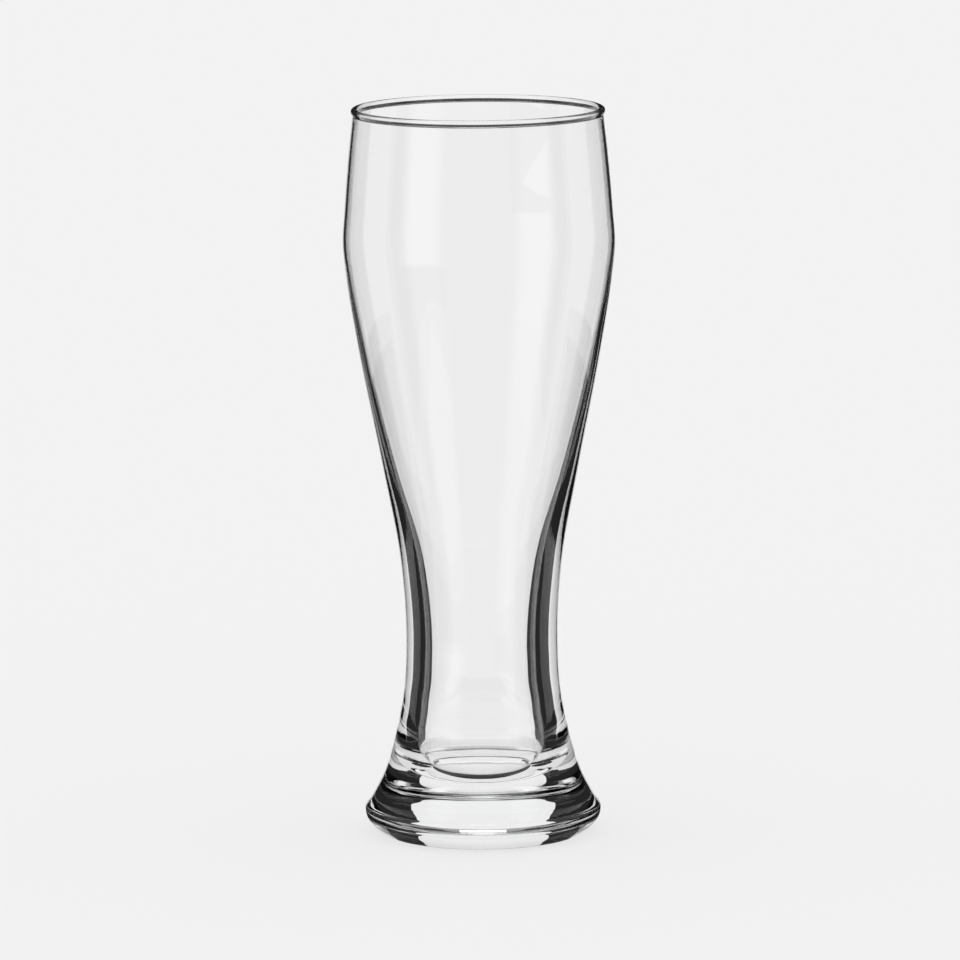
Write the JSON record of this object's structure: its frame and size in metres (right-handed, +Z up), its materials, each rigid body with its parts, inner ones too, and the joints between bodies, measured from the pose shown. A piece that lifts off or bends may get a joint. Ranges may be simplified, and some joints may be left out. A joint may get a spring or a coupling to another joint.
{
  "type": "wheat beer glass",
  "caption": "Tall clear wheat-beer glass: a slender waisted bowl that widens to a rounded rim, on a thick solid foot.",
  "frame": {"origin": "centre of the resting ring under the foot, on the table", "axes": "+Z up along the axis of revolution; every direction round it is alike"},
  "size_m": [0.0807, 0.0806, 0.2169],
  "materials": {
    "clear_glass": "clear, fire-polished"
  },
  "bodies": {
    "root": {"glass": "clear_glass"}
  },
  "joints": []
}
